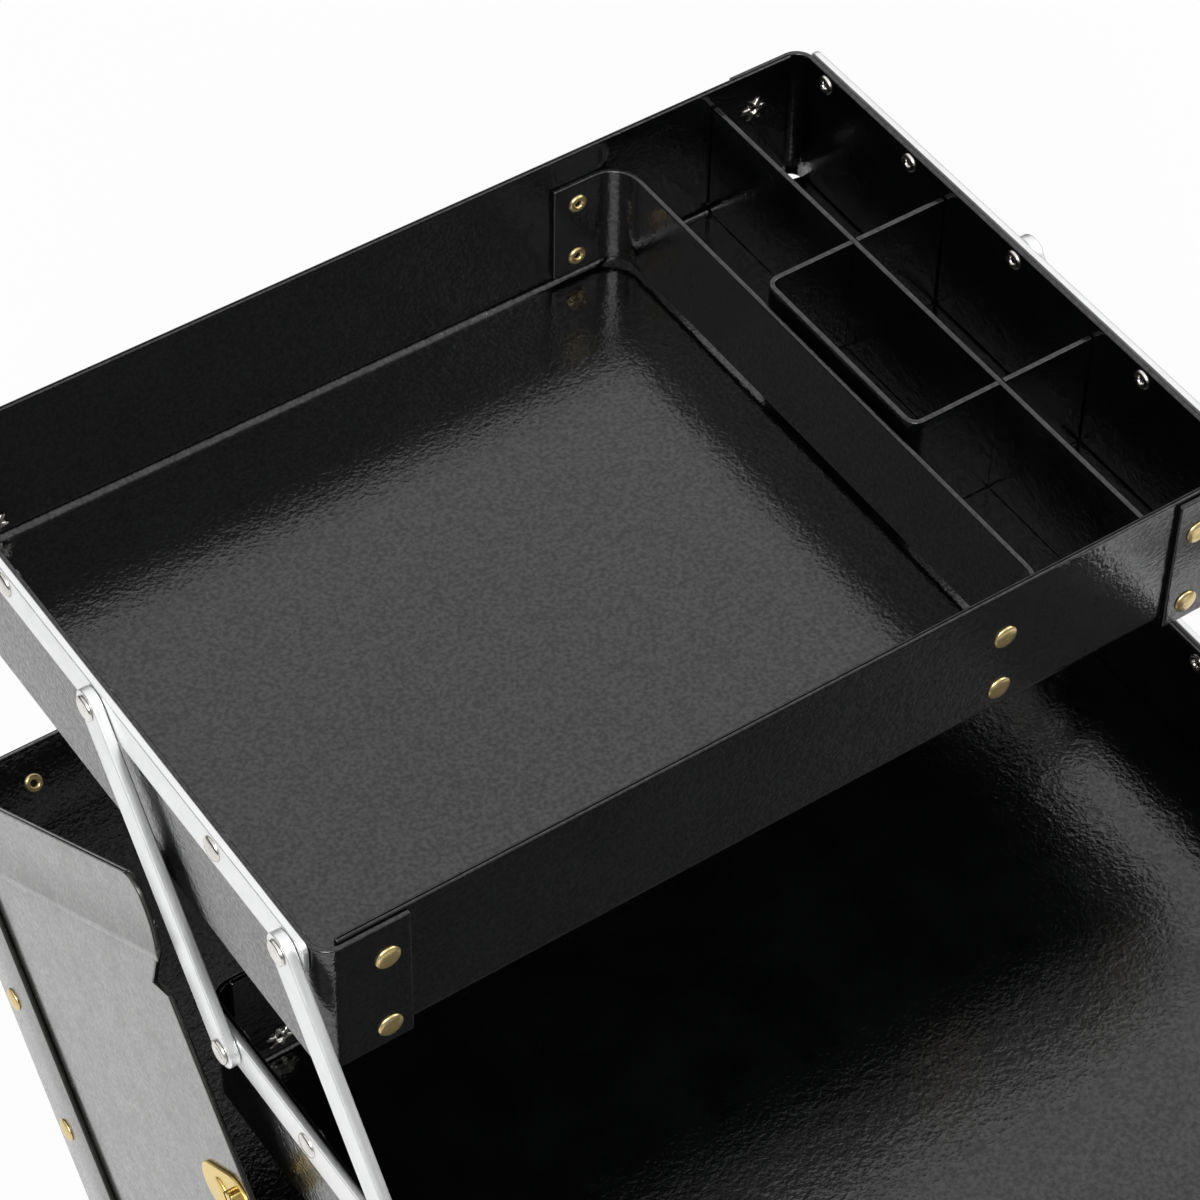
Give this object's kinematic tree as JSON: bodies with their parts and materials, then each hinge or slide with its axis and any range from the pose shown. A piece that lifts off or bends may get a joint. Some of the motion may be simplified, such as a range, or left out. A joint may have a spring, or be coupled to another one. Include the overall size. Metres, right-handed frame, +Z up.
{
  "type": "shoe care storage box",
  "caption": "Cantilever shoe care box of black fibre board: two trays on swinging flat links step up and back from a low body, with a deep hinged lid tipped back behind them.",
  "frame": {"origin": "middle of the body's underside, on the table", "axes": "+X along the width to the right, +Y to the back where the lid is hinged, +Z up"},
  "size_m": [0.3116, 0.4641, 0.2981],
  "materials": {
    "fibre_board": "glossy black vulcanised fibre board with a fine pebble",
    "rivet_brass": "worn domed brass",
    "latch_brass": "bright stamped brass",
    "pin_steel": "plain steel wire",
    "alloy": "bright flat aluminium strip"
  },
  "bodies": {
    "body": {"body_shell": "fibre_board", "body_end_left": "fibre_board", "body_end_right": "fibre_board", "body_corner_rivets": "rivet_brass", "body_rail_left": "alloy", "body_rail_right": "alloy", "body_rail_rivets": "rivet_brass", "body_pivot_pins": "rivet_brass", "body_hinge_leaves": "latch_brass", "hinge_pins": "pin_steel", "latch_leaf_left": "latch_brass", "latch_leaf_right": "latch_brass", "latch_pins": "pin_steel"},
    "lower_tray": {"lower_tray_shell": "fibre_board", "lower_end_left": "fibre_board", "lower_end_right": "fibre_board", "lower_corner_rivets": "rivet_brass", "lower_rail_left": "alloy", "lower_rail_right": "alloy", "lower_rail_rivets": "rivet_brass", "lower_bracket_left": "alloy", "lower_bracket_right": "alloy", "lower_bracket_pins": "rivet_brass", "lower_rail_pins": "rivet_brass"},
    "upper_tray": {"upper_tray_shell": "fibre_board", "upper_end_left": "fibre_board", "upper_end_right": "fibre_board", "upper_corner_rivets": "rivet_brass", "upper_bar_left": "alloy", "upper_bar_right": "alloy", "upper_bar_rivets": "rivet_brass", "upper_bar_pins": "rivet_brass", "partition": "fibre_board", "partition_rivets": "rivet_brass", "cell_insert": "fibre_board", "long_divider": "fibre_board"},
    "lid": {"lid_hood": "fibre_board", "lid_lip": "fibre_board", "lid_cheek_left": "fibre_board", "lid_cheek_right": "fibre_board", "lid_band_left": "fibre_board", "lid_band_right": "fibre_board", "lid_rivets": "rivet_brass", "keeper_left": "latch_brass", "keeper_right": "latch_brass", "lid_hinge_leaves": "latch_brass"},
    "hasp_left": {"latch_hasp_left": "latch_brass"},
    "hasp_right": {"latch_hasp_right": "latch_brass"},
    "lower_link_left_rear": {"lower_link_left_rear": "alloy"},
    "lower_link_left_front": {"lower_link_left_front": "alloy"},
    "lower_link_right_rear": {"lower_link_right_rear": "alloy"},
    "lower_link_right_front": {"lower_link_right_front": "alloy"},
    "upper_link_left_rear": {"upper_link_left_rear": "alloy"},
    "upper_link_left_front": {"upper_link_left_front": "alloy"},
    "upper_link_right_rear": {"upper_link_right_rear": "alloy"},
    "upper_link_right_front": {"upper_link_right_front": "alloy"}
  },
  "joints": [
    {"name": "trays_fold", "type": "hinge", "parent": "body", "child": "lower_link_left_rear", "pos_m": [-0.1462, 0.088, 0.0667], "axis": [1, 0, 0], "range_deg": [0, 69.3]},
    {"name": "lower_link_left_front_swing", "type": "hinge", "parent": "body", "child": "lower_link_left_front", "pos_m": [-0.1462, 0.038, 0.0667], "axis": [1, 0, 0], "range_deg": [0, 69.8]},
    {"name": "lower_link_right_rear_swing", "type": "hinge", "parent": "body", "child": "lower_link_right_rear", "pos_m": [0.1462, 0.088, 0.0667], "axis": [1, 0, 0], "range_deg": [0, 69.8]},
    {"name": "lower_link_right_front_swing", "type": "hinge", "parent": "body", "child": "lower_link_right_front", "pos_m": [0.1462, 0.038, 0.0667], "axis": [1, 0, 0], "range_deg": [0, 69.8]},
    {"name": "lower_tray_level", "type": "hinge", "parent": "lower_link_left_rear", "child": "lower_tray", "pos_m": [-0.1462, 0.08504, 0.18766], "axis": [1, 0, 0], "range_deg": [-69.8, 0]},
    {"name": "upper_link_left_rear_swing", "type": "hinge", "parent": "lower_tray", "child": "upper_link_left_rear", "pos_m": [-0.1462, 0.19496, 0.21466], "axis": [1, 0, 0], "range_deg": [0, 96.27]},
    {"name": "upper_link_left_front_swing", "type": "hinge", "parent": "lower_tray", "child": "upper_link_left_front", "pos_m": [-0.1462, 0.10496, 0.21466], "axis": [1, 0, 0], "range_deg": [0, 96.27]},
    {"name": "upper_link_right_rear_swing", "type": "hinge", "parent": "lower_tray", "child": "upper_link_right_rear", "pos_m": [0.1462, 0.19496, 0.21466], "axis": [1, 0, 0], "range_deg": [0, 96.27]},
    {"name": "upper_link_right_front_swing", "type": "hinge", "parent": "lower_tray", "child": "upper_link_right_front", "pos_m": [0.1462, 0.10496, 0.21466], "axis": [1, 0, 0], "range_deg": [0, 96.27]},
    {"name": "upper_tray_level", "type": "hinge", "parent": "upper_link_left_rear", "child": "upper_tray", "pos_m": [-0.1462, 0.25113, 0.29313], "axis": [1, 0, 0], "range_deg": [-96.27, 0]},
    {"name": "lid_hinge", "type": "hinge", "parent": "body", "child": "lid", "pos_m": [0, 0.1085, 0.0727], "axis": [1, 0, 0], "range_deg": [0, 12]},
    {"name": "hasp_left_swing", "type": "hinge", "parent": "body", "child": "hasp_left", "pos_m": [-0.154, -0.01, 0.0567], "axis": [0, 1, 0], "range_deg": [0, 175]},
    {"name": "hasp_right_swing", "type": "hinge", "parent": "body", "child": "hasp_right", "pos_m": [0.154, -0.01, 0.0567], "axis": [0, -1, 0], "range_deg": [0, 175]}
  ],
  "couplings": [
    {"joint": "lower_link_left_front_swing", "follows": "trays_fold", "ratio": 1},
    {"joint": "lower_link_right_rear_swing", "follows": "trays_fold", "ratio": 1},
    {"joint": "lower_link_right_front_swing", "follows": "trays_fold", "ratio": 1},
    {"joint": "lower_tray_level", "follows": "trays_fold", "ratio": -1},
    {"joint": "upper_link_left_rear_swing", "follows": "trays_fold", "ratio": 1.3821},
    {"joint": "upper_link_left_front_swing", "follows": "trays_fold", "ratio": 1.3821},
    {"joint": "upper_link_right_rear_swing", "follows": "trays_fold", "ratio": 1.3821},
    {"joint": "upper_link_right_front_swing", "follows": "trays_fold", "ratio": 1.3821},
    {"joint": "upper_tray_level", "follows": "trays_fold", "ratio": -1.3821}
  ]
}
